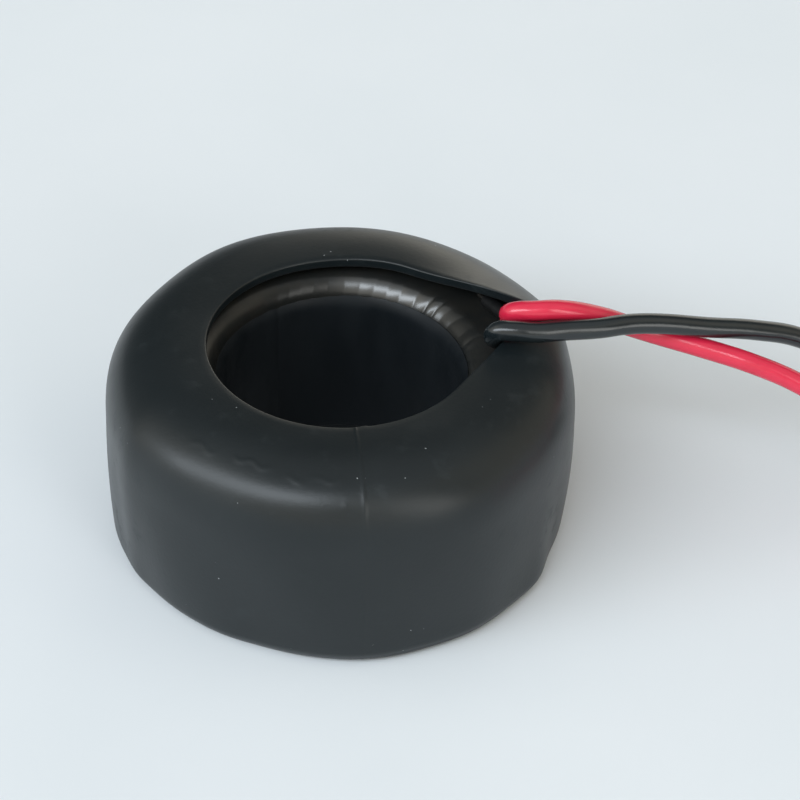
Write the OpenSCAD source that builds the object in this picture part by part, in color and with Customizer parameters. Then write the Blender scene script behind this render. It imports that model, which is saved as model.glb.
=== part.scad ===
// Ring-type current transformer for a conductor that passes through its window.
// A cased strip-wound core carries the secondary winding. Black tape covers the winding,
// a film band lines the window, and a shrunk jacket closes the outside. Two insulated
// leads are joined to the winding's ends under the jacket and leave over its lip.
// Millimetres, +Z along the window's axis, origin on that axis at the jacket's foot.

/* [Core] */
// Radial build of the strip-wound core
core_build = 2.38; // [2:0.02:5]
// Height of the core
core_h = 9; // [7:0.1:14]
// Play between the core and its case on every side
core_fit = 0.15; // [0.1:0.05:0.25]

/* [Case] */
// Wall of the moulded core case
case_wall = 0.6; // [0.5:0.1:0.8]
// Length of the lid's skirts inside the case
skirt_l = 1.2; // [0.8:0.1:2]

/* [Winding] */
// Build-up of the winding on the wall towards the window
winding_in = 1.1; // [0.8:0.1:1.4]
// Build-up of the winding on the outer wall and the two ends
winding_out = 0.8; // [0.6:0.1:1]
// Bunches of turns that show as ridges round the winding
bunches = 60; // [40:1:64]
// Height of one ridge
ridge = 0.12; // [0.05:0.01:0.2]
// Rounding of the winding's edges
winding_round = 1.6; // [1:0.1:2]
// Diameter of the enamelled wire's two ends
wire_d = 0.4; // [0.3:0.05:0.5]

/* [Tape] */
// Thickness of the tape layers over the winding
tape_wall = 0.4; // [0.3:0.05:0.6]
// Radius at which the tape turns over the window's edge
tape_corner = 1.1; // [0.9:0.1:1.4]
// How far the tape's edges are tucked under the film band, above and below
tuck_l = 2; // [1:0.1:4]
// Pleats in the tape where it turns over the window's edge
pleats = 56; // [40:1:60]
// Depth of one pleat
pleat_depth = 0.22; // [0.1:0.02:0.3]

/* [Window] */
// Diameter of the clear window inside the film band
window_d = 18.4; // [16:0.1:24]
// Thickness of the film band that lines the window
liner_wall = 0.25; // [0.2:0.05:0.4]
// How far the film band ends short of the tape's top
liner_short = 0.95; // [0.6:0.05:1.6]
// How far the film band ends short of the tape's underside
liner_low = 0.4; // [0.3:0.05:1.2]

/* [Jacket] */
// Wall of the shrunk sleeve
jacket_wall = 0.8; // [0.5:0.05:0.9]
// How far the lip's edge stands back from the window's wall, above and below
lip_back = 1; // [0.6:0.1:1.4]
// Room between the tape and the jacket's top face, where the lead joints lie
joint_room = 1.2; // [1.15:0.05:1.5]
// Height over which the upper edge rolls from the top face into the wall
edge_drop = 6.8; // [6:0.1:7.5]
// How squarely the upper edge rolls: 2 is an ellipse, more is squarer
edge_power = 3; // [2.6:0.1:3.4]
// Radius of the edge at the foot
foot_r = 1.4; // [1.2:0.1:1.8]
// How far the wall draws in from half height to the foot
foot_inset = 0.55; // [0:0.05:0.7]
// Depth of the gentle facets that shrinking leaves round the wall
facet_depth = 0.14; // [0:0.02:0.2]

/* [Lead exit] */
// Direction in which the lip is drawn out by the leads, in degrees from +X
exit_az = 15; // [10:1:18]
// How far the lip is drawn out to a point beyond its round part
exit_draw = 4.6; // [4:0.1:4.8]
// Height that the lip stands raised behind the leads
exit_lift = 1.2; // [1.1:0.05:1.5]
// Turn from the drawn-out point to where the lip is highest, in degrees
lift_turn = 3; // [0:1:6]
// Spread of the raised lip on the steep side, in degrees
lift_steep = 10; // [8:1:14]
// Spread of the raised lip on the shallow side, in degrees
lift_shallow = 27; // [20:1:32]
// Depth of the flat that the raised lip pulls into the upper edge
flat_depth = 0.5; // [0:0.1:0.6]
// Turn from the drawn-out point to the middle of that flat, in degrees
flat_turn = 20; // [14:1:26]
// Spread of that flat, in degrees
flat_spread = 15; // [10:1:20]

/* [Leads] */
// Outside diameter of the leads' insulation
lead_d = 1.6; // [1.3:0.1:1.6]
// Diameter of the tinned strands
strand_d = 0.76; // [0.6:0.02:0.8]
// Length of the tinned end of each lead
tinned_l = 5; // [3:0.5:6]
// Length of the soldered joint at the winding's end
joint_l = 3; // [2.5:0.1:3.2]
// Outside diameter of the sleeve over each joint
sleeve_d = 1.1; // [1:0.02:1.12]
// Depth of the joints' middle under the jacket's inner face
joint_depth = 0.3; // [0.25:0.01:0.35]
// Radius of the outermost turn of the spiral that each loose lead lies in
coil_r = 9.3; // [8:0.1:12]
// Turns of that spiral
coil_turns = 1.6; // [1:0.1:2]
// Distance from one turn to the next
coil_pitch = 1.7; // [1.65:0.05:2.2]
// Straight run of the lead from the end of its fall to the spiral
coil_run = 6; // [4:0.5:10]

/* [Fits] */
// Play between the tape and the jacket that is shrunk over it
jacket_fit = 0.1; // [0.05:0.01:0.15]
// Play between each pair of fixed layers inside
layer_fit = 0.1; // [0.05:0.01:0.15]

/* [Hidden] */

black = [0.13, 0.14, 0.15];
red = [0.84, 0.18, 0.28];
tin = [0.72, 0.73, 0.74];
solder = [0.6, 0.61, 0.63];
copper = [0.62, 0.3, 0.16];

// Stations round the axis, and steps over each rounded stretch of a section
jacket_stations = 72;
jacket_edge_steps = 9;
jacket_foot_steps = 3;
tape_edge_steps = 5;
tape_foot_steps = 2;
tape_corner_steps = 3;

// Layers from the window outwards, through the core, to the jacket
liner_r = window_d / 2 + liner_wall;
tape_r = liner_r + layer_fit;
winding_r = tape_r + tape_wall + layer_fit;
case_r = winding_r + winding_in;
core_r = case_r + case_wall + core_fit;
core_out_r = core_r + core_build;
case_out_r = core_out_r + core_fit + case_wall;
winding_out_r = case_out_r + winding_out;
tape_out_r = winding_out_r + layer_fit + tape_wall + foot_inset;
jacket_r = tape_out_r + jacket_fit + jacket_wall + facet_depth * 1.6;
// Layers from the foot upwards
tape_z0 = jacket_wall + jacket_fit;
winding_z0 = tape_z0 + tape_wall + layer_fit;
case_z0 = winding_z0 + winding_out;
core_z0 = case_z0 + case_wall + core_fit;
lid_z0 = core_z0 + core_h + core_fit + skirt_l;
case_z1 = lid_z0 + case_wall;
winding_z1 = case_z1 + winding_out;
tape_z1 = winding_z1 + layer_fit + tape_wall;
jacket_h = tape_z1 + joint_room + jacket_wall;
mid_z = (tape_z0 + tape_z1) / 2;
liner_z0 = tape_z0 + liner_low;
liner_z1 = tape_z1 - liner_short;
// The lip's round part, and the point that it is drawn out to
lip_d = window_d + 2 * lip_back;
exit_reach = lip_d / 2 + exit_draw;
exit_point = [exit_reach * cos(exit_az), exit_reach * sin(exit_az)];
// How far the joints lie below the top face
joint_drop = jacket_wall + joint_depth;

// Routes of the leads, from the joint under the jacket to the start of the spiral: place from the
// point where the lip is drawn out, and drop below the top face. The last point is on the floor.
red_route = hung([[-1.55, 1.05, joint_drop], [-1.33, 0.72, 1.06], [-1.35, 0.1, 0.5],
                  [-1.42, -0.5, -0.25], [-1.55, -1.15, -0.95], [-0.95, -1.65, -1.55],
                  [0.3, -1.78, -1.75], [2.2, -1.53, -1.7], [5.4, -0.53, -0.4], [7.7, -0.03, 0.8],
                  [9.7, 0.37, 1.8], [13.7, -0.33, 2.6], [17.6, -1.33, 3.3], [21, -2.03, 4.5],
                  [24.7, -2.93, 6.6], [28.1, -3.83, 9.8], [30.9, -4.53, 13.2], [33.6, -5.03, 15.7],
                  [36.1, -5.13, 16.4], [37.7, -5.13, 16.4]]);
black_route = hung([[0.13, 0.93, joint_drop + 0.09], [0.34, 0.6, joint_drop + 0.06],
                    [0.3, -0.1, 1.13], [-0.1, -0.86, 1.13], [-0.93, -1.4, 1.13],
                    [-1.75, -1.7, 1.05], [-2.4, -2.3, 0.6], [-2.75, -2.9, -0.15],
                    [-2.4, -3.35, -0.95], [-1.3, -3.53, -1.15], [0.5, -3.43, -1], [2.2, -3.03, -0.9],
                    [5.3, -2.33, -0.7], [7.4, -1.53, -0.5], [9.7, -0.83, -0.1], [13.6, 0.17, 0.9],
                    [17.7, 1.37, 2], [21.2, 2.37, 3.4], [25.1, 2.67, 5.8], [28.3, 2.27, 9.3],
                    [31.1, 1.47, 13], [33.9, 0.77, 15.6], [36.1, 0.47, 16.4], [37.7, 0.47, 16.4]]);
// The end of each lead turns in from the last turn: start and end as distance and angle
tail_from = [6.2, 140];
tail_to = [3.6, 170];
lead_sides = 8;

function polar(r, az) = [r * cos(az), r * sin(az)];
function lerp(a, b, t) = a + (b - a) * t;
function turn_from(az, from) = ((az - from + 540) % 360) - 180;
function lobe(az, from, width) = exp(-pow(turn_from(az, from) / width, 2));
function unit(v) = v / norm(v);

// A route in space: its fall is stretched so that its last point lies on the floor
function hung(route) =
    let (fall = route[len(route) - 1][2], spare = jacket_h - lead_d / 2 - fall)
    [for (p = route) [exit_point[0] + p[0], exit_point[1] + p[1], jacket_h - p[2] - spare * pow(p[2] / fall, 2)]];

// The lip's edge: a round hole drawn out to a point by two tangents
function lip_r(az) =
    let (half = acos(lip_d / 2 / exit_reach), d = abs(turn_from(az, exit_az)))
    d < half ? lip_d / 2 / cos(half - d) : lip_d / 2;

// How far the lip stands up: most behind the leads, falling away round the window
function lip_lift(az) =
    let (peak = exit_az + lift_turn)
    exit_lift * lobe(az, peak, turn_from(az, peak) > 0 ? lift_shallow : lift_steep);

// The wall's radius at a height: facets, the draw towards the foot and the pulled-in edge
function wall_r(az, z, inset) =
    let (up = max(0, min(1, z / (jacket_h - edge_drop))), top = max(0, min(1, 2 * z / jacket_h - 1)))
    jacket_r - inset + facet_depth * (sin(4 * az) + 0.6 * sin(8 * az + 180 * up))
    - foot_inset * pow(1 - up, 2) - flat_depth * top * lobe(az, exit_az + flat_turn, flat_spread);

// The rolled edge, from the lip at t = 90 to the wall at t = 0
function edge_point(az, t, inset, lip, lift) =
    let (z = jacket_h - edge_drop + (edge_drop - inset) * pow(sin(t), 2 / edge_power))
    [lerp(lip, wall_r(az, z, inset), pow(cos(t), 2 / edge_power)), z + lift * pow(sin(t), 6)];

// The rounded foot, from the wall at t = 0 to the flat underside at t = 90
function foot_point(az, t, inset) =
    let (r = max(foot_r - inset, 0.3))
    [wall_r(az, inset + r, inset) - r * (1 - cos(t)), inset + r * (1 - sin(t))];

// One face of the jacket, or of a shell inset from it, from the upper lip to the lower one
function shell_side(az, inset, lip, lift, edge_steps, foot_steps) =
    concat([for (k = [0 : edge_steps]) edge_point(az, 90 * (1 - k / edge_steps), inset, lip, lift)],
           [for (f = [0.35, 0.7]) let (z = lerp(jacket_h - edge_drop, foot_r, f)) [wall_r(az, z, inset), z]],
           [for (k = [0 : foot_steps]) foot_point(az, 90 * k / foot_steps, inset)],
           [[lip_d / 2, inset]]);

function reversed(list) = [for (k = [len(list) - 1 : -1 : 0]) list[k]];

// Sections stand in the plane of their station; each becomes a ring of points in space
function placed(section, az) = [for (p = section) [p[0] * cos(az), p[0] * sin(az), p[1]]];

// A closed ring-shaped skin through sections that all have the same number of points
module ring_loft(sections) {
    n = len(sections);
    m = len(sections[0]);
    polyhedron(points = [for (s = sections) each s],
               faces = [for (i = [0 : n - 1], j = [0 : m - 1], half = [0, 1])
                   let (a = i * m + j, b = i * m + (j + 1) % m,
                        c = ((i + 1) % n) * m + (j + 1) % m, d = ((i + 1) % n) * m + j)
                   half == 0 ? [a, c, b] : [a, d, c]],
               convexity = 8);
}

// A tube along a route: each ring of points stands across the route's own direction
function along(route, k) =
    unit(route[min(k + 1, len(route) - 1)] - route[max(k - 1, 0)]);
function across(route, k, d) =
    let (t = along(route, k), u = unit(cross(t, [0.15, 0.1, 1])), v = cross(u, t))
    [for (s = [0 : lead_sides - 1]) route[k] + d / 2 * (u * cos(360 * s / lead_sides) + v * sin(360 * s / lead_sides))];

module tube(route, d) {
    n = len(route);
    m = lead_sides;
    polyhedron(points = [for (k = [0 : n - 1]) each across(route, k, d)],
               faces = concat([[for (s = [m - 1 : -1 : 0]) s]],
                   [for (k = [0 : n - 2], s = [0 : m - 1], half = [0, 1])
                       let (a = k * m + s, b = k * m + (s + 1) % m)
                       half == 0 ? [a, b, a + m] : [b, b + m, a + m]],
                   [[for (s = [0 : m - 1]) (n - 1) * m + s]]),
               convexity = 4);
}

// Places its children at the start of a route, with their X axis pointing back from it
module at_start(route) {
    d = route[0] - route[1];
    translate(route[0]) rotate([0, -atan2(d[2], norm([d[0], d[1]])), atan2(d[1], d[0])]) children();
}

module ring(r_in, r_out, z0, z1) {
    translate([0, 0, z0])
        difference() {
            cylinder(r = r_out, h = z1 - z0, $fn = 96);
            translate([0, 0, -1]) cylinder(r = r_in, h = z1 - z0 + 2, $fn = 96);
        }
}

// Strip-wound magnetic core
module core() {
    color("silver")
        ring(core_r, core_out_r, core_z0, core_z0 + core_h);
}

// Moulded case: an open ring-shaped trough
module core_case() {
    color("ivory")
        difference() {
            ring(case_r, case_out_r, case_z0, lid_z0);
            ring(case_r + case_wall, case_out_r - case_wall, case_z0 + case_wall, lid_z0 + 1);
        }
}

// Moulded lid, with skirts that sit inside the trough's walls
module core_case_lid() {
    in = case_r + case_wall + layer_fit;
    out = case_out_r - case_wall - layer_fit;
    color("ivory")
        difference() {
            union() {
                ring(case_r, case_out_r, lid_z0, case_z1);
                ring(in, out, lid_z0 - skirt_l, lid_z0);
            }
            ring(in + case_wall, out - case_wall, lid_z0 - skirt_l - 1, lid_z0);
        }
}

// Section of the winding: a box with rounded edges, drawn in between the bunches of turns
function winding_section(dip) =
    let (r0 = winding_r + dip, r1 = winding_out_r - dip, z0 = winding_z0 + dip, z1 = winding_z1 - dip,
         c = winding_round)
    [[r0, z0 + c / 2], [r0, z1 - c / 2], [r0 + c / 2, z1], [r1 - c, z1], [r1 - c / 3, z1 - c / 3],
     [r1, z1 - c], [r1, z0 + c / 2], [r1 - c / 2, z0], [r0 + c / 2, z0]];

// Secondary winding of enamelled wire round the case; its turns lie in bunches
module secondary_winding() {
    n = bunches * 2;
    color(copper)
        difference() {
            ring_loft([for (i = [0 : n - 1]) placed(winding_section(ridge * (i % 2)), 360 * i / n)]);
            ring(case_r - layer_fit, case_out_r + layer_fit, case_z0 - layer_fit, case_z1 + layer_fit);
        }
}

// Section of the tape: it follows the jacket outside, lies flat on top and turns into the window
function tape_corner_point(t, pleat) =
    let (r = tape_corner - pleat) [tape_r + pleat + r * (1 - sin(t)), r * (1 - cos(t))];
function tape_section(az, pleat) =
    let (side = shell_side(az, jacket_wall + jacket_fit, lip_d / 2, 0, tape_edge_steps, tape_foot_steps),
         in = tape_r + tape_wall, out = winding_out_r + layer_fit, tuck = liner_z1 - mid_z - tuck_l,
         z0 = winding_z0 - layer_fit, z1 = winding_z1 + layer_fit)
    concat([for (k = [1 : len(side) - 2]) [side[k][0], min(side[k][1], tape_z1)]],
           [for (k = [0 : tape_corner_steps])
               let (p = tape_corner_point(90 * k / tape_corner_steps, pleat)) [p[0], tape_z0 + p[1]]],
           [[tape_r + pleat / 2, mid_z - tuck], [in, mid_z - tuck], [in, z0], [out, z0],
            [out, z1 - winding_round], [out - winding_round / 3, z1 - winding_round / 3],
            [out - winding_round, z1], [in, z1], [in, mid_z + tuck],
            [tape_r + pleat / 2, mid_z + tuck]],
           [for (k = [tape_corner_steps : -1 : 0])
               let (p = tape_corner_point(90 * k / tape_corner_steps, pleat)) [p[0], tape_z1 - p[1]]]);

// Black tape over the winding, its edges pleated and tucked into the window
module tape_wrap() {
    n = pleats * 2;
    color(black)
        ring_loft([for (i = [0 : n - 1]) let (az = 360 * i / n) placed(tape_section(az, pleat_depth * (i % 2)), az)]);
}

// Film band that lines the window and holds the tape's tucked edges
module window_liner() {
    color(black) ring(window_d / 2, liner_r, liner_z0, liner_z1);
}

function jacket_side(az, inset) =
    shell_side(az, inset, lip_r(az), lip_lift(az), jacket_edge_steps, jacket_foot_steps);

// Jacket: a wide sleeve shrunk over the ring, its ends curled over the top face and the foot
module jacket() {
    color(black)
        ring_loft([for (i = [0 : jacket_stations - 1]) let (az = exit_az + 360 * i / jacket_stations)
            placed(concat(jacket_side(az, 0), reversed(jacket_side(az, jacket_wall))), az)]);
}

// Soldered joint between a lead's strands and one end of the winding's wire
module joint(route) {
    color(solder)
        at_start(route) {
            rotate([0, 90, 0]) cylinder(d = strand_d, h = joint_l, $fn = 24);
            translate([joint_l, 0, 0]) rotate([0, 90, 0]) cylinder(d = wire_d, h = joint_l / 3, $fn = 24);
        }
}

// Shrunk sleeve over a joint
module joint_sleeve(route) {
    color(black)
        at_start(route) rotate([0, 90, 0])
            difference() {
                cylinder(d = sleeve_d, h = joint_l, $fn = 24);
                translate([0, 0, -1]) cylinder(d = strand_d + layer_fit, h = joint_l + 2, $fn = 24);
            }
}

// Places its children at the middle of a lead's spiral; side is +1 or -1, the way it turns
module at_coil(route, side) {
    end = route[len(route) - 1];
    translate([end[0] + coil_run, end[1] + side * coil_r, 0])
        mirror([0, side < 0 ? 1 : 0, 0]) children();
}

// Places its children at a point of the turned-in tail, with their X axis along it
module on_tail(at) {
    from = polar(tail_from[0], tail_from[1]);
    to = polar(tail_to[0], tail_to[1]);
    translate([at[0] * cos(at[1]), at[0] * sin(at[1]), 0])
        rotate([0, 0, atan2(to[1] - from[1], to[0] - from[0])]) children();
}

// Outer shape of a spiral: its turns, the straight run into it and the tail that turns in
module coil(route, side) {
    at_coil(route, side) {
        difference() {
            cylinder(r = coil_r + lead_d / 2, h = lead_d, $fn = 96);
            translate([0, 0, -1])
                cylinder(r = coil_r - coil_turns * coil_pitch - lead_d / 2, h = lead_d + 2, $fn = 96);
        }
        translate([-coil_run, -coil_r - lead_d / 2, 0]) cube([coil_run, lead_d, lead_d]);
        on_tail(tail_from) translate([0, -lead_d / 2, 0])
            cube([norm(polar(tail_to[0], tail_to[1]) - polar(tail_from[0], tail_from[1])), lead_d, lead_d]);
    }
}

// Tinned strands beyond the insulation, lying inside the spiral
module tinned_end(route, side) {
    color(tin)
        at_coil(route, side) on_tail(tail_to) translate([0, 0, lead_d / 2])
            rotate([0, 90, 0]) cylinder(d = strand_d, h = tinned_l, $fn = 24);
}

module joint_red() joint(red_route);
module joint_black() joint(black_route);
module joint_sleeve_red() joint_sleeve(red_route);
module joint_sleeve_black() joint_sleeve(black_route);
module lead_red() color(red) tube(red_route, lead_d);
module lead_black() color(black) tube(black_route, lead_d);
module coil_red() color(red) coil(red_route, -1);
module coil_black() color(black) coil(black_route, 1);
module tinned_end_red() tinned_end(red_route, -1);
module tinned_end_black() tinned_end(black_route, 1);

core();
core_case();
core_case_lid();
secondary_winding();
tape_wrap();
window_liner();
jacket();
joint_red();
joint_black();
joint_sleeve_red();
joint_sleeve_black();
lead_red();
lead_black();
coil_red();
coil_black();
tinned_end_red();
tinned_end_black();
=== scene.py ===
import math

import bmesh
import bpy
from mathutils import Matrix, Vector, noise


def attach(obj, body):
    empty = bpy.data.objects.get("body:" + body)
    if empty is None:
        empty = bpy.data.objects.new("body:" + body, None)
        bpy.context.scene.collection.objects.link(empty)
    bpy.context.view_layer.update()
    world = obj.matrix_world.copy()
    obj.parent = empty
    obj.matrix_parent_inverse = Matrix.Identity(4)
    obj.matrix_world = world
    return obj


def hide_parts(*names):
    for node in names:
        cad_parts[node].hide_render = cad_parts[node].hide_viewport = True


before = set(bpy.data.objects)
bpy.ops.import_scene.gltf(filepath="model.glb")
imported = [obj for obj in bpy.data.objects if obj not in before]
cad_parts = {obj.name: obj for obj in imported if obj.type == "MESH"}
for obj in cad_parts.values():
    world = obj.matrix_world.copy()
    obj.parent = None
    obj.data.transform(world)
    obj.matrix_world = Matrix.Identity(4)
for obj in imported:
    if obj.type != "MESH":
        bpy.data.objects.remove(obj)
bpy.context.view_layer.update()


# ---------------------------------------------------------------- camera
# A long lens a forearm's length away looks down on the ring at 39 degrees,
# turned a little about its own axis.

MM = 0.001
look_down = math.radians(39.15)
camera_roll = -0.0255
camera_far, camera_right, camera_up = 273.96 * MM, 4.567 * MM, 8.984 * MM

back = Vector((0, -math.cos(look_down), math.sin(look_down)))
up = Vector((0, math.sin(look_down), math.cos(look_down)))
right = Vector((1, 0, 0))
lens = bpy.data.cameras.new("camera")
lens.lens, lens.sensor_width = 156.4, 36
lens.clip_start, lens.clip_end = 0.01, 20
camera = bpy.data.objects.new("camera", lens)
bpy.context.scene.collection.objects.link(camera)
turn, lean = math.cos(camera_roll), math.sin(camera_roll)
camera.matrix_world = Matrix((
    right * turn - up * lean, right * lean + up * turn, back)).transposed().to_4x4()
camera.location = back * camera_far + right * camera_right + up * camera_up
bpy.context.scene.camera = camera


# ---------------------------------------------------------------- leads
# Two PVC-insulated hook-up wires, red and black, 1.6 mm over the insulation. Each comes
# from its joint under the jacket, bends over the raised lip, falls to the floor and lies
# there in a loose flat spiral that ends in bare, tinned strands.


class Shade:
    """A value in a material; sums and products of it add the nodes they need."""

    def __init__(self, tree, socket=None):
        self.tree, self.socket = tree, socket

    def node(self, kind, settings=None, inputs=None, output=0):
        """Adds a node: its settings first, then the values or links of its sockets."""
        made = self.tree.nodes.new("ShaderNode" + kind)
        for name, value in (settings or {}).items():
            setattr(made, name, value)
        for name, value in (inputs or {}).items():
            if isinstance(value, Shade):
                self.tree.links.new(value.socket, made.inputs[name])
            else:
                made.inputs[name].default_value = value
        return Shade(self.tree, made.outputs[output] if made.outputs else None)

    def maths(self, operation, first, second=0.0):
        return self.node("Math", {"operation": operation}, {0: first, 1: second})

    def __add__(self, other):
        return self.maths("ADD", self, other)

    def __sub__(self, other):
        return self.maths("SUBTRACT", self, other)

    def __rsub__(self, other):
        return self.maths("SUBTRACT", other, self)

    def __mul__(self, other):
        return self.maths("MULTIPLY", self, other)

    __radd__, __rmul__ = __add__, __mul__

    def over(self, low, high):
        """1 where the value is past high, 0 below low, smooth between."""
        return self.node("MapRange", {"interpolation_type": "SMOOTHSTEP"},
                         {"Value": self, "From Min": low, "From Max": high})

    def mix(self, first, second):
        """From the first colour to the second as the value goes from 0 to 1."""
        colours = [c if isinstance(c, Shade) else (*c, 1) for c in (first, second)]
        return self.node("Mix", {"data_type": "RGBA"},
                         {0: self, 6: colours[0], 7: colours[1]}, output=2)

    def axis(self, which):
        return self.node("SeparateXYZ", {}, {0: self}, output="XYZ".index(which))

    def grain(self, size, detail=2.0, roughness=0.5, stretch=(1, 1, 1)):
        """Noise with lumps of about that size in metres, from 0 to 1."""
        place = self.node("Mapping", {}, {"Vector": self, "Scale": stretch})
        return self.node("TexNoise", {}, {"Vector": place, "Scale": 1 / size,
                                          "Detail": detail, "Roughness": roughness})

    def bump(self, depth, strength):
        """Relief that is depth millimetres high where the value is 1."""
        return self.node("Bump", {}, {"Height": self, "Distance": depth * MM, "Strength": strength})


def new_finish(name):
    """An empty material and its Object coordinates."""
    finish = bpy.data.materials.new(name)
    finish.use_nodes = True
    finish.node_tree.nodes.clear()
    return finish, Shade(finish.node_tree).node("TexCoord", {}, {}, output=3)


def close_finish(finish, place, **surface):
    """Ends a material with its surface; names are the shader's own, with _ for a space."""
    inputs = {name.replace("_", " "): value if isinstance(value, (Shade, float, int)) else (*value, 1)
              for name, value in surface.items()}
    shader = place.node("BsdfPrincipled", {}, inputs)
    place.node("OutputMaterial", {}, {"Surface": shader})
    return finish


def linear(r, g, b):
    """A colour given as 0 to 255 on a screen, as the light that it sends back."""
    return tuple(c / 12.92 if c <= 0.04045 else ((c + 0.055) / 1.055) ** 2.4
                 for c in (r / 255, g / 255, b / 255))


def insulation(name, colour, deep, rough):
    """Soft satin PVC: a little uneven in colour, with faint marks of handling."""
    finish, place = new_finish(name)
    blotch = place.grain(2.4 * MM, 3).over(0.35, 0.7)
    rub = place.grain(0.5 * MM, 4, 0.6)
    lumps = place.grain(1.1 * MM, 2)
    skin = place.grain(0.09 * MM, 2)
    return close_finish(
        finish, place, Base_Color=blotch.mix(colour, deep),
        Roughness=rough + 0.1 * rub, Specular_IOR_Level=0.6,
        Normal=(0.2 * skin + lumps).bump(0.04, 0.4))


lead_d = 1.6 * MM
jacket_h = 17.2 * MM
# The point to which the lip is drawn out: its azimuth in degrees and its reach in mm
exit_az, exit_reach = 15, 14.8
exit_point = Vector((exit_reach * math.cos(math.radians(exit_az)),
                     exit_reach * math.sin(math.radians(exit_az)), jacket_h / MM)) * MM
coil_run, coil_r, coil_turns, coil_pitch = 6 * MM, 9.3 * MM, 1.5, 1.7 * MM
points_a_turn, coil_from = 24, -90
# Radius in mm and angle about the coil's middle of the points past its last turn, and of
# the point from which the bare end is aimed
tail = [(6.49, 107.6), (5.77, 124.6), (4.74, 144.2), (3.6, 170)]
aim_r, aim_angle = 6.2 * MM, 140
joint_drop = 1.1

# Place from the point where the lip is drawn out, and drop below the top face, in mm
red_route = [
    (-1.55, 1.05, joint_drop), (-1.33, 0.72, 1.06), (-1.35, 0.1, 0.5), (-1.42, -0.5, -0.25),
    (-1.55, -1.15, -0.95), (-0.95, -1.65, -1.55), (0.3, -1.78, -1.75), (2.2, -1.53, -1.7),
    (5.4, -0.53, -0.4), (7.7, -0.03, 0.8), (9.7, 0.37, 1.8), (13.7, -0.33, 2.6), (17.6, -1.33, 3.3),
    (21, -2.03, 4.5), (24.7, -2.93, 6.6), (28.1, -3.83, 9.8), (30.9, -4.53, 13.2),
    (33.6, -5.03, 15.7), (36.1, -5.13, 16.4), (37.7, -5.13, 16.4)]
black_route = [
    (0.13, 0.93, joint_drop + 0.09), (0.34, 0.6, joint_drop + 0.06), (0.3, -0.1, 1.13),
    (-0.1, -0.86, 1.13), (-0.93, -1.4, 1.13), (-1.75, -1.7, 1.05), (-2.4, -2.3, 0.6),
    (-2.75, -2.9, -0.15), (-2.4, -3.35, -0.95), (-1.3, -3.53, -1.15), (0.5, -3.43, -1),
    (2.2, -3.03, -0.9), (5.3, -2.33, -0.7), (7.4, -1.53, -0.5), (9.7, -0.83, -0.1),
    (13.6, 0.17, 0.9), (17.7, 1.37, 2), (21.2, 2.37, 3.4), (25.1, 2.67, 5.8),
    (28.3, 2.27, 9.3), (31.1, 1.47, 13), (33.9, 0.77, 15.6), (36.1, 0.47, 16.4), (37.7, 0.47, 16.4)]


def lay_lead(name, route, side, finish):
    """The lead as a round curve, and its far end's place and direction. Side, -1 or 1, is
    the sign of Y on which its coil lies."""
    points = [exit_point + Vector((x, y, -drop)) * MM for x, y, drop in route]
    floor_at = points[-1].copy()
    middle = floor_at + Vector((coil_run, side * coil_r, 0))
    points += [floor_at + Vector((coil_run * k / 3, 0, 0)) for k in (1, 2)]

    def on_coil(r, degrees):
        a = math.radians(degrees)
        return middle + Vector((r * math.cos(a), side * r * math.sin(a), 0))

    for k in range(round(coil_turns * points_a_turn) + 1):
        turned = k / points_a_turn
        points.append(on_coil(coil_r - coil_pitch * turned, 360 * turned + coil_from))
    points += [on_coil(r * MM, degrees) for r, degrees in tail]

    curve = bpy.data.curves.new(name, "CURVE")
    curve.dimensions, curve.resolution_u = "3D", 6
    curve.bevel_depth, curve.bevel_resolution, curve.use_fill_caps = lead_d / 2, 6, True
    spline = curve.splines.new("BEZIER")
    spline.bezier_points.add(len(points) - 1)
    for knot, point in zip(spline.bezier_points, points):
        knot.co, knot.handle_left_type, knot.handle_right_type = point, "AUTO", "AUTO"
    lead = bpy.data.objects.new(name, curve)
    bpy.context.scene.collection.objects.link(lead)
    curve.materials.append(finish)
    return lead, points[-1], (points[-1] - on_coil(aim_r, aim_angle)).normalized()


red_lead, red_end, red_way = lay_lead(
    "red_lead", red_route, -1,
    insulation("insulation_red", linear(210, 40, 70), linear(200, 34, 63), 0.15))
black_lead, black_end, black_way = lay_lead(
    "black_lead", black_route, 1,
    insulation("insulation_black", linear(24, 31, 34), linear(20, 26, 30), 0.15))
for lead, node, coil, slot in ((red_lead, "lead_red", "coil_red", "insulation_red"),
                               (black_lead, "lead_black", "coil_black", "insulation_black")):
    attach(lead, "root")
    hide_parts(node, coil)


# ---------------------------------------------------------------- tinned ends
# Seven copper strands, twisted together and dipped in solder, which fills the grooves
# between them and rounds the tip. They stick out of the insulation's cut face.


def tinned_metal():
    """Solder-dipped copper: bright, a little uneven, with duller patches."""
    finish, place = new_finish("tinned_metal")
    dull = place.grain(0.5 * MM, 4).over(0.4, 0.7)
    relief = place.grain(0.12 * MM, 3)
    return close_finish(
        finish, place, Base_Color=dull.mix(linear(205, 206, 204), linear(160, 160, 156)),
        Metallic=1.0, Roughness=0.24 + 0.22 * dull, Normal=relief.bump(0.02, 0.6))


tin = tinned_metal()
outer_strands, strand_r, strand_out, centre_r = 6, 0.13 * MM, 0.25 * MM, 0.195 * MM
tinned_l, tip_l, twist, twist_steps = 5 * MM, 0.55 * MM, 400, 40


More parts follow.
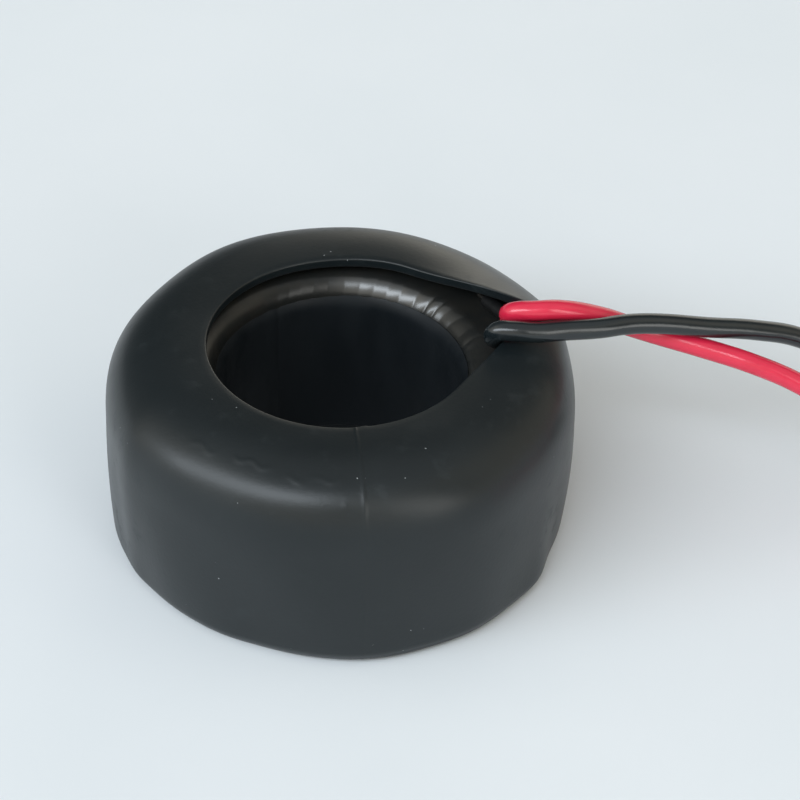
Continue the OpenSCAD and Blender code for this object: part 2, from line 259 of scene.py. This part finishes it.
def twisted_strands(name, start, way):
    """Six strands wound round a seventh, from inside the insulation to a rounded tip."""
    bm = bmesh.new()
    seat = start - way * lead_d / 2
    length = tinned_l + lead_d / 2
    stand = way.to_track_quat("Z", "Y").to_matrix().to_4x4()
    for k in range(outer_strands + 1):
        out, thick = (strand_out, strand_r) if k < outer_strands else (0, centre_r)
        ring = bmesh.ops.create_circle(bm, segments=10, radius=thick, matrix=(
            Matrix.Rotation(math.tau * k / outer_strands, 4, "Z")
            @ Matrix.Translation((out, 0, 0))))["verts"]
        edges = list({e for v in ring for e in v.link_edges})
        bmesh.ops.holes_fill(bm, edges=edges)
        spun = bmesh.ops.spin(bm, geom=edges, cent=(0, 0, 0), axis=(0, 0, 1),
                              dvec=(0, 0, length / twist_steps), angle=math.radians(twist),
                              steps=twist_steps)["geom_last"]
        bmesh.ops.holes_fill(bm, edges=[e for e in spun if isinstance(e, bmesh.types.BMEdge)])
    for v in bm.verts:
        left = (length - v.co.z) / tip_l
        if left < 1:
            round_in = math.sqrt(max(0.0, 1 - (1 - left) ** 2)) * 0.75 + 0.25
            v.co.x, v.co.y = v.co.x * round_in, v.co.y * round_in
    bmesh.ops.recalc_face_normals(bm, faces=bm.faces)
    bmesh.ops.transform(bm, matrix=Matrix.Translation(seat) @ stand, verts=bm.verts)
    mesh = bpy.data.meshes.new(name)
    bm.to_mesh(mesh)
    bm.free()
    mesh.polygons.foreach_set("use_smooth", [True] * len(mesh.polygons))
    mesh.materials.append(tin)
    strands = bpy.data.objects.new(name, mesh)
    bpy.context.scene.collection.objects.link(strands)
    return strands


red_strands = twisted_strands("red_tinned_strands", red_end, red_way)
black_strands = twisted_strands("black_tinned_strands", black_end, black_way)
for strands, node in ((red_strands, "tinned_end_red"), (black_strands, "tinned_end_black")):
    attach(strands, "root")
    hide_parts(node)


# ---------------------------------------------------------------- core and its case
# A ring of thin magnetic strip, wound on itself, lies in a moulded plastic case with a lid.
# The case keeps the winding's pull off the strip.

finish, place = new_finish("core_strip")
across = place.node("VectorMath", {"operation": "LENGTH"}, {
    0: place.node("VectorMath", {"operation": "MULTIPLY"}, {0: place, 1: (1, 1, 0)})}, output=1)
strip_thick = 0.12 * MM
layers = place.maths("SINE", across * (math.tau / strip_thick)) * 0.5 + 0.5
stain = place.grain(2.5 * MM, 4).over(0.35, 0.75)
strip = close_finish(
    finish, place, Base_Color=stain.mix(linear(168, 170, 173), linear(132, 130, 128)),
    Metallic=1.0, Roughness=0.34 + 0.16 * stain, Normal=layers.bump(0.02, 0.5))

finish, place = new_finish("case_plastic")
shade = place.grain(3 * MM, 3).over(0.3, 0.7)
moulded = close_finish(
    finish, place, Base_Color=shade.mix(linear(226, 219, 199), linear(214, 205, 182)),
    Roughness=0.42 + 0.1 * shade, Specular_IOR_Level=0.45,
    Normal=place.grain(0.14 * MM, 3).bump(0.015, 0.5))
for node, material in (("core", strip), ("core_case", moulded), ("core_case_lid", moulded)):
    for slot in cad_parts[node].material_slots:
        slot.material = material


# ---------------------------------------------------------------- secondary winding
# Enamelled copper wire wound through the ring's window in bunches of turns, each turn
# running across the face and down the wall.

finish, place = new_finish("enamelled_wire")
round_ring = place.maths("ARCTAN2", place.axis("Y"), place.axis("X"))
wires_round = 420
turns = place.maths("SINE", round_ring * wires_round) * 0.5 + 0.5
tone = place.grain(1.6 * MM, 3).over(0.35, 0.7)
copper = close_finish(
    finish, place, Base_Color=tone.mix(linear(176, 98, 52), linear(140, 70, 36)),
    Metallic=1.0, Roughness=0.26 + 0.14 * tone, Coat_Weight=0.5, Normal=turns.bump(0.12, 0.8))
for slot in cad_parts["secondary_winding"].material_slots:
    slot.material = copper


# ---------------------------------------------------------------- lead joints
# Each lead's strands are soldered to one end of the winding, and a small shrunk sleeve
# covers the joint under the jacket.

# The sleeves are black, but painted darker still than the other black plastics, and the solder is
# painted dark grey rather than bright like the tinned ends. Both are painted shade for where the
# joints lie under the lip.
finish, place = new_finish("joint_sleeve")
scuff = place.grain(0.7 * MM, 3).over(0.3, 0.7)
sleeve = close_finish(
    finish, place, Base_Color=scuff.mix(linear(12, 13, 14), linear(17, 18, 19)),
    Roughness=0.55 + 0.12 * scuff, Specular_IOR_Level=0.2,
    Normal=place.grain(0.2 * MM, 3).bump(0.02, 0.5))
finish, place = new_finish("solder")
crust = place.grain(0.3 * MM, 3).over(0.3, 0.7)
solder = close_finish(
    finish, place, Base_Color=crust.mix(linear(60, 58, 55), linear(40, 39, 37)),
    Metallic=0.8, Roughness=0.5 + 0.1 * crust)
for node, material in (("joint_red", solder), ("joint_black", solder),
                       ("joint_sleeve_red", sleeve), ("joint_sleeve_black", sleeve)):
    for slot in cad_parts[node].material_slots:
        slot.material = material


# ---------------------------------------------------------------- tape
# Glossy black tape wound through the window over the winding. It lies flat on top, turns
# over the window's edge in small radial pleats, and its edges are tucked under the film.

tape_in, tape_low, tape_top = 9.55 * MM, 0.9 * MM, 15.2 * MM
tape_wall, tape_corner, inner_corner, tuck_reach = 0.4 * MM, 1.8 * MM, 1.6 * MM, 4.2 * MM
face_end, close_rings, hair = 14.6 * MM, 1.4 * MM, 0.001 * MM
pleats, steps_a_pleat, pleat_reach, inner_reach = 56, 14, 1.3 * MM, 1.5 * MM
flat_depth, pleat_depth, pleat_az, pleat_spread = 0.01 * MM, 0.13 * MM, 50, 42
pleat_fade, drift_scale, drift, slant, crest_power = 1.6 * MM, 300, 0.7, 0.16, 0.85
raised_by, raised_az, raised_spread, raised_r = 0.6 * MM, 160, 72, 16 * MM


def closed_profile(bm, points):
    """A closed outline in the XZ plane; returns its edges."""
    verts = [bm.verts.new((r, 0, z)) for r, z in points]
    return [bm.edges.new((a, b)) for a, b in zip(verts, verts[1:] + verts[:1])]


def spin_ring(bm, edges, steps):
    """Turns an outline once about the ring's axis and closes it."""
    bmesh.ops.spin(bm, geom=edges, cent=(0, 0, 0), axis=(0, 0, 1), angle=math.tau,
                   steps=steps, use_merge=True)
    bmesh.ops.remove_doubles(bm, verts=bm.verts, dist=hair / 2)
    bmesh.ops.recalc_face_normals(bm, faces=bm.faces)


def finish_piece(bm, name, material, node, smooth_below=40):
    """Turns the bmesh into a piece that stands for a node and rides on the body."""
    mesh = bpy.data.meshes.new(name)
    for edge in bm.edges:
        edge.smooth = not (edge.is_manifold
                           and edge.calc_face_angle(0) > math.radians(smooth_below))
    for face in bm.faces:
        face.smooth = True
    bm.to_mesh(mesh)
    bm.free()
    mesh.materials.append(material)
    piece = bpy.data.objects.new(name, mesh)
    bpy.context.scene.collection.objects.link(piece)
    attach(piece, "root")
    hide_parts(node)


def arc(r, z, radius, start, end, steps):
    """Points of an arc about (r, z), by angle from the +r axis in degrees."""
    return [(r + radius * math.cos(math.radians(start + (end - start) * k / steps)),
             z + radius * math.sin(math.radians(start + (end - start) * k / steps)))
            for k in range(steps + 1)]


def spread(first, last, steps):
    """Points from first up to but not at last."""
    return [tuple(a + (b - a) * k / steps for a, b in zip(first, last)) for k in range(steps)]


corner_r = tape_in + tape_corner
tape_mid = (tape_low + tape_top) / 2
upper = (spread((face_end, tape_top), (corner_r + close_rings, tape_top), 3)
         + spread((corner_r + close_rings, tape_top), (corner_r, tape_top), 7)
         + arc(corner_r, tape_top - tape_corner, tape_corner, 90, 180, 20)
         + spread((tape_in, tape_top - tape_corner - 0.1 * MM), (tape_in, tape_mid + tuck_reach), 8)
         + [(tape_in, tape_mid + tuck_reach)])
lower = [(r, 2 * tape_mid - z) for r, z in reversed(upper)]
inside = [(tape_in + tape_wall, tape_mid - tuck_reach), (tape_in + tape_wall, tape_low + inner_corner),
          (tape_in + inner_corner, tape_low + tape_wall),
          (15.9 * MM, tape_low + tape_wall), (15.95 * MM, tape_top - 2.2 * MM),
          (14.3 * MM, tape_top - tape_wall), (tape_in + inner_corner, tape_top - tape_wall),
          (tape_in + tape_wall, tape_top - inner_corner),
          (tape_in + tape_wall, tape_mid + tuck_reach)]
outside = [(16.3 * MM, tape_low + 0.5 * MM), (16.5 * MM, 3 * MM), (16.85 * MM, 8 * MM),
           (16.8 * MM, 11 * MM), (16.2 * MM, 13.4 * MM), (15.4 * MM, 14.7 * MM)]
bm = bmesh.new()
# the upper face and its corner, the tape's inner skin, the lower corner, the outer wall
edges = closed_profile(bm, upper + list(reversed(inside)) + lower + outside)
spin_ring(bm, edges, pleats * steps_a_pleat)


def off_azimuth(degrees, centre):
    """The angle from centre to degrees, between -180 and 180."""
    return ((degrees - centre + 540) % 360) - 180


def lobe(degrees, centre, width):
    """1 at the centre's azimuth, falling off smoothly over about that width."""
    return math.exp(-(off_azimuth(degrees, centre) / width) ** 2)


def between(low, value, high):
    return max(low, min(high, value))


def raised(r, degrees, z):
    """How far the winding lifts the tape: it stands higher behind, away from the leads."""
    if z <= tape_mid:
        return 0
    inwards = between(0, (raised_r - r) / MM, 1)
    upwards = 1 - between(0, (tape_top - 2 * MM - z) / (2 * MM), 1)
    return raised_by * lobe(degrees, raised_az, raised_spread) ** 0.5 * inwards * upwards


def pleat_sink(x, y, degrees, along):
    """How far the tape falls back between pleats, deepest behind and to the right."""
    depth = flat_depth + pleat_depth * lobe(degrees, pleat_az, pleat_spread)
    weight = math.exp(-((along + 0.15 * MM) / pleat_fade) ** 2)
    shift = noise.noise(Vector((x, y, 0)) * drift_scale) * drift
    place_in = degrees / 360 * pleats + along / MM * slant + shift
    crest = abs(math.sin(math.pi * place_in)) ** crest_power
    size = 0.6 + 0.7 * noise.noise(Vector((place_in * 0.7, 0.4, 0.2)))
    return depth * weight * (1 - crest * size)


for v in bm.verts:
    x, y, z = v.co
    r, degrees = math.hypot(x, y), math.degrees(math.atan2(y, x))
    v.co.z += raised(r, degrees, z)
    from_face = min(abs(z - tape_top), abs(z - tape_low))
    along = (r - tape_in) - from_face
    inner_skin = r > tape_in + tape_wall - hair and from_face > tape_wall - hair
    if r > corner_r + pleat_reach or (inner_skin and abs(along) > inner_reach):
        continue
    sink = pleat_sink(x, y, degrees, along)
    lean_in = between(0, (r - tape_in) / tape_corner, 1)
    way_down = -1 if z > tape_mid else 1
    out = Vector((x, y, 0)).normalized()
    v.co += out * sink * (1 - 0.5 * lean_in) + Vector((0, 0, way_down * sink * lean_in))
bmesh.ops.recalc_face_normals(bm, faces=bm.faces)

finish, place = new_finish("glossy_tape")
tone = place.grain(1.8 * MM, 3).over(0.3, 0.75)
stretch = place.grain(0.5 * MM, 4, 0.6, (1, 1, 0.35))
# the tape is stretched, and glossier, where the pleats are
tight = place.axis("Y").over(5 * MM, 8.5 * MM) * place.axis("X").over(-2 * MM, 1.5 * MM)
tape_finish = close_finish(
    finish, place, Base_Color=tone.mix(linear(26, 28, 28), linear(34, 34, 32)),
    Roughness=0.25 + 0.1 * stretch, Specular_IOR_Level=0.35, Coat_Weight=tight, Coat_IOR=1.7,
    Coat_Roughness=0.3, Normal=stretch.bump(0.012, 0.5))
finish_piece(bm, "pleated_tape", tape_finish, "tape_wrap", 70)


# ---------------------------------------------------------------- window band
# A stiff black film, rolled into a band and pushed into the window, where it holds the
# tape's edges. Its ends meet in an upright seam at the back.

band_in, band_wall, band_low, band_top = 9.2 * MM, 0.25 * MM, 1.3 * MM, 14.25 * MM
seam_az, edge_round, press_h, press_out, press_thin = 123, 0.07 * MM, 1.1 * MM, 0.26 * MM, 0.8
wave_scale, wave_high, bow_out, fold_high = 320, 0.05, 0.045, 0.05
band_out = band_in + band_wall
bm = bmesh.new()
edges = closed_profile(
    bm, spread((band_in, band_top - edge_round), (band_in, band_low + edge_round), 26)
    + arc(band_in + edge_round, band_low + edge_round, edge_round, 180, 270, 3)
    + arc(band_out - edge_round, band_low + edge_round, edge_round, 270, 360, 3)
    + arc(band_out - edge_round, band_top - edge_round, edge_round, 0, 90, 3)
    + arc(band_in + edge_round, band_top - edge_round, edge_round, 90, 180, 3)[:-1])
spin_ring(bm, edges, 360)
for v in bm.verts:
    r, degrees = math.hypot(v.co.x, v.co.y), math.degrees(math.atan2(v.co.y, v.co.x))
    off = off_azimuth(degrees, seam_az)
    out = Vector((v.co.x, v.co.y, 0)).normalized()
    # the top edge is pressed out against the turn of the tape and thinned
    pressed = max(0, 1 - (band_top - v.co.z) / press_h) ** 2
    v.co += out * pressed * (press_out + press_thin * (band_out - r))
    if r < band_in + 0.1 * MM:
        wave = noise.noise(Vector((v.co.x, v.co.y, v.co.z * 0.35)) * wave_scale)
        fold = math.exp(-(off / 1.1) ** 2) - 0.6 * math.exp(-((off - 4) / 2.2) ** 2)
        v.co += out * (wave_high * wave + bow_out + fold_high * fold) * MM
finish, place = new_finish("window_film")
smear = place.grain(3.2 * MM, 3, 0.5, (1, 1, 0.3)).over(0.3, 0.7)
fine = place.grain(0.25 * MM, 3)
film = close_finish(
    finish, place, Base_Color=smear.mix(linear(15, 20, 24), linear(20, 25, 29)),
    Roughness=0.42 + 0.2 * smear, Specular_IOR_Level=0.22, Normal=fine.bump(0.01, 0.4))
finish_piece(bm, "window_band", film, "window_liner", 50)


# ---------------------------------------------------------------- jacket
# A wide black heat-shrink sleeve pulled over the ring and shrunk until both ends curl in
# over the faces. Its upper lip is drawn out to a point and stands up behind the leads.

jacket_r, jacket_wall, lip_r = 18 * MM, 0.8 * MM, 10.2 * MM
edge_drop, edge_power, foot_r, foot_inset = 6.8 * MM, 3, 1.4 * MM, 0.55 * MM
exit_lift, lift_az, lift_before, lift_after, point_round = 1.2 * MM, exit_az + 3, 10, 34, 0.8
pressed_flat, facet_depth, cut_round = 0.5 * MM, 0.14 * MM, 0.15 * MM
stations, edge_steps, inner_steps, wall_steps, foot_steps, under_steps = 480, 64, 20, 14, 12, 8


# Azimuth, width in degrees and height in mm of swellings and flats: of the lip, and of the
# wall near the foot
lip_swellings = [(70, 20, 0.3), (-79, 2, -0.1)]
low_swellings = [(-28, 7, 0.3), (-52, 7, 0.1), (-20, 6, -0.14), (-68, 9, -0.12), (-128, 9, -0.1),
                 (-110, 7, -0.1)]


def swelling(degrees, swellings):
    """What a list of swellings and flats adds at that azimuth, in mm."""
    return sum(high * lobe(degrees, at, wide) for at, wide, high in swellings)


def lip_edge(degrees):
    """The round lip, drawn out to a point by two tangents, with a slightly rounded point."""
    half = math.degrees(math.acos(lip_r / (exit_reach * MM)))
    d = math.hypot(off_azimuth(degrees, exit_az), point_round)
    r = lip_r / math.cos(math.radians(half - d)) if d < half else lip_r
    return r + swelling(degrees, lip_swellings) * MM


def lip_rise(degrees):
    """How high the lip stands up near its point; on the camera's side it falls off faster."""
    past = off_azimuth(degrees, lift_az) > 0
    return exit_lift * lobe(degrees, lift_az, lift_after if past else lift_before)


def wall_at(degrees, z):
    """The wall's radius: broad facets, the draw towards the foot and the pulled-in edge."""
    a = math.radians(degrees)
    rise = between(0, z / (jacket_h - edge_drop), 1)
    top = between(0, 2 * z / jacket_h - 1, 1)
    return (jacket_r + facet_depth * (math.sin(4 * a) + 0.6 * math.sin(8 * a + math.pi * rise))
            - foot_inset * (1 - rise) ** 2 - pressed_flat * top * lobe(degrees, exit_az + 20, 15))


def edge_outline(inset):
    """The rolled edge from the lip outwards: share of the way to the wall, height, lift."""
    points = []
    steps = inner_steps if inset else edge_steps
    for k in range(steps + 1):
        t = math.radians(90 * (1 - k / steps))
        z = jacket_h - edge_drop + (edge_drop - inset) * math.sin(t) ** (2 / edge_power)
        share = math.cos(t) ** (2 / edge_power)
        points.append((share, z, math.sin(t) ** 6 if inset else (1 - share) ** 1.15))
    return points


bm = bmesh.new()
to_wall = bm.verts.layers.float.new("to_wall")
lift_share = bm.verts.layers.float.new("lift_share")
inset_by = bm.verts.layers.float.new("inset")


def shell_outline(inset):
    """One face of the sleeve, from the upper lip to the lower: share, height, lift, inset."""
    outline = edge_outline(inset)
    foot = max(foot_r - inset, 0.3 * MM)
    low, high = inset + foot, jacket_h - edge_drop
    outline += [(1, high + (low - high) * k / wall_steps, 0) for k in range(1, wall_steps + 1)]
    for k in range(1, foot_steps + 1):
        t = math.radians(90 * k / foot_steps)
        outline.append((1 - foot * (1 - math.cos(t)) / (jacket_r - inset - lip_r),
                        inset + foot * (1 - math.sin(t)), 0))
    last = outline[-1][0]
    outline += [(last * (1 - k / under_steps), inset, 0) for k in range(1, under_steps + 1)]
    return [(share, z, lift, inset) for share, z, lift in outline]


verts = []
for share, z, lift, inset in shell_outline(0) + list(reversed(shell_outline(jacket_wall))):
    v = bm.verts.new((lip_r + share * (jacket_r - inset - lip_r), 0, z))
    v[to_wall], v[lift_share], v[inset_by] = share, lift, inset
    verts.append(v)
edges = [bm.edges.new((a, b)) for a, b in zip(verts, verts[1:] + verts[:1])]
spin_ring(bm, edges, stations)
rim = [e for e in bm.edges if all(v[to_wall] < 1e-4 for v in e.verts)
       and e.is_manifold and e.calc_face_angle(0) > math.radians(60)]
bmesh.ops.bevel(bm, geom=rim, offset=cut_round, offset_type="OFFSET", segments=3, profile=0.5,
                affect="EDGES", material=-1)


tick_az, tick_width, tick_z, tick_h, tick_high = -87, 0.7, 15.3 * MM, 0.3 * MM, 0.05
flare_az, flare_width, flare_z, flare_h, flare_high = -66, 26, 0.45 * MM, 0.2 * MM, 0.13
ripple_scale, ripple_high = 130, 0.07


def wall_unevenness(v, degrees, z):
    """Swellings and flats where the sleeve shrank unevenly, a small raised tick near the top
    and the flared edge of the foot, in mm."""
    low = 1 - min(1, z / (9 * MM))
    shape = low * swelling(degrees, low_swellings) + 0.13 * lobe(degrees, -150, 5)
    shape += (tick_high * lobe(degrees, tick_az, tick_width)
              * math.exp(-((z - tick_z) / tick_h) ** 2))
    shape += (flare_high * lobe(degrees, flare_az, flare_width)
              * math.exp(-((z - flare_z) / flare_h) ** 2))
    return shape + ripple_high * noise.noise(
        Vector((v.co.x, v.co.y, v.co.z * 0.5)) * ripple_scale)


# Azimuths of the two ends, share of the way to the wall and height in mm of each fold
folds = [(-120, -107, 0.64, 0.05), (-104, -98, 0.69, 0.04), (-97, -87, 0.667, 0.045),
         (-134, -124, 0.68, 0.03)]
fold_taper, fold_wander, fold_width = 1.8, 0.02, 0.022


def small_folds(degrees, share):
    """Low folds where the sleeve gathered on the top face, above the front edge, in mm."""
    height = 0
    for start, end, at, high in folds:
        half = (end - start) / 2
        ends = between(0, (half - abs(off_azimuth(degrees, start + half))) / fold_taper, 1)
        wander = fold_wander * math.sin(degrees * 0.9 + at * 50)
        height += high * ends * math.exp(-((share - at - wander) / fold_width) ** 2)
    return height


crease_az, crease_width, crease_out, crease_up = -82.5, 0.55, 0.025 * MM, 0.02 * MM
closer_by, closer_within = 0.6, 10
for v in bm.verts:
    r, degrees = math.hypot(v.co.x, v.co.y), math.degrees(math.atan2(v.co.y, v.co.x))
    # the stations stand closer together near the upright crease
    off = off_azimuth(degrees, crease_az)
    degrees = crease_az + off * (1 - closer_by * math.exp(-(off / closer_within) ** 2))
    z, inset = v.co.z, v[inset_by]
    share = (r - lip_r) / (jacket_r - inset - lip_r)
    wall = wall_at(degrees, z) - inset
    lip = lip_edge(degrees)
    outer_skin = 1 - min(1, inset / jacket_wall)
    crease = lobe(degrees, crease_az, crease_width) * outer_skin
    r = lip + (wall - lip) * share + crease_out * crease * min(1, share * 2)
    r += wall_unevenness(v, degrees, z) * share ** 2 * MM
    v.co.z += lip_rise(degrees) * v[lift_share]
    if z > jacket_h / 2:
        v.co.z += small_folds(degrees, share) * outer_skin * MM + crease_up * crease
    v.co.x, v.co.y = r * math.cos(math.radians(degrees)), r * math.sin(math.radians(degrees))
bmesh.ops.recalc_face_normals(bm, faces=bm.faces)

finish, place = new_finish("shrunk_jacket")
cloud = place.grain(7 * MM, 3, 0.55).over(0.3, 0.7)
peel = place.grain(0.32 * MM, 2, 0.5)
fine = place.grain(0.07 * MM, 2)
rubbed = place.grain(2.2 * MM, 5, 0.65).over(0.56, 0.74)
# a few grains of dust, in loose patches
dust = place.grain(0.3 * MM, 0).over(0.845, 0.87) * place.grain(3 * MM, 0).over(0.66, 0.7)
black = cloud.mix(linear(17, 24, 27), linear(20, 27, 30))
colour = dust.mix(rubbed.mix(black, linear(26, 33, 36)), linear(150, 155, 158))
jacket_finish = close_finish(
    finish, place, Base_Color=colour, Roughness=0.33 + 0.06 * cloud + 0.1 * rubbed,
    Specular_IOR_Level=0.42, Normal=(0.3 * fine + peel).bump(0.012, 0.6))
finish_piece(bm, "shrunk_jacket", jacket_finish, "jacket", 42)


# ---------------------------------------------------------------- table and light
# The part stands on a pale matt sheet. A long soft lamp stands high on the left, towards the
# front. The room is pale, dimmer overhead and right of the camera and dark behind the part;
# a narrow bright strip stands in it at the front right.

table_size = 3
bm = bmesh.new()
bmesh.ops.create_grid(bm, x_segments=2, y_segments=2, size=table_size)
mesh = bpy.data.meshes.new("table")
bm.to_mesh(mesh)
bm.free()
table = bpy.data.objects.new("table", mesh)
bpy.context.scene.collection.objects.link(table)
finish, place = new_finish("table_sheet")
mottle = place.grain(30 * MM, 4).over(0.2, 0.8)
mesh.materials.append(close_finish(
    finish, place, Base_Color=mottle.mix(linear(229, 234, 239), linear(225, 231, 236)),
    Roughness=0.6, Specular_IOR_Level=0.3, Normal=place.grain(0.6 * MM, 3).bump(0.02, 0.3)))

lamp_way, lamp_far, lamp_turn = Vector((-0.58, -0.52, 0.63)).normalized(), 1.2, 31
lamp = bpy.data.lights.new("window_light", "AREA")
lamp.shape, lamp.size, lamp.size_y = "RECTANGLE", 1.6, 0.42
lamp.energy, lamp.color = 12.5, (0.82, 0.91, 1.0)
lamp_object = bpy.data.objects.new("window_light", lamp)
bpy.context.scene.collection.objects.link(lamp_object)
lamp_object.matrix_world = (Matrix.Translation(lamp_way * lamp_far)
                            @ lamp_way.to_track_quat("Z", "Y").to_matrix().to_4x4()
                            @ Matrix.Rotation(math.radians(lamp_turn), 4, "Z"))

room_strength = 1.32
world = bpy.data.worlds.new("room")
world.use_nodes = True
world.node_tree.nodes.clear()
room = Shade(world.node_tree)
seen = room.node("LightPath", {}, {}, output=0)
way = room.node("TexCoord", {}, {}, output=0)
rise, aside, away = way.axis("Z"), way.axis("X"), way.axis("Y")
right_low = aside.over(-0.12, 0.06) * (1 - rise.over(0.36, 0.58)) * away.over(0.2, 0.5)
behind = away.over(0.05, 0.6) * (1 - rise.over(0.75, 0.95)) * (1 - right_low)
beside_camera = (aside.over(-0.1, 0.3) * (1 - away.over(-0.5, -0.1))
                 * (1 - rise.over(0.6, 0.85)) * rise.over(0.1, 0.3))
right_side = aside.over(0.35, 0.75)
light = rise.over(0.66, 0.92).mix(linear(228, 225, 215), linear(174, 176, 176))
light = right_side.mix(right_low.mix(light, linear(280, 275, 260)), linear(203, 196, 180))
light = behind.mix(beside_camera.mix(light, linear(120, 117, 110)), linear(72, 73, 73))
# the strip slants: it lies in a plane through the part, square to this direction
off_strip = way.node("VectorMath", {"operation": "DOT_PRODUCT"},
                     {0: way, 1: (0.552, 0.646, 0.526)}, output=1)
strip_of_light = ((1 - room.maths("ABSOLUTE", off_strip).over(0.08, 0.24))
                  * aside.over(0.2, 0.45) * (1 - aside.over(0.72, 0.85))
                  * (1 - away.over(-0.5, -0.3)))
light = strip_of_light.mix(light, (2.7, 2.7, 2.6))
backdrop = seen.mix(light, linear(226, 232, 237))
shader = room.node("Background", {}, {"Color": backdrop, "Strength": room_strength})
room.node("OutputWorld", {}, {"Surface": shader})
bpy.context.scene.world = world
bpy.context.scene.view_settings.view_transform = "Standard"
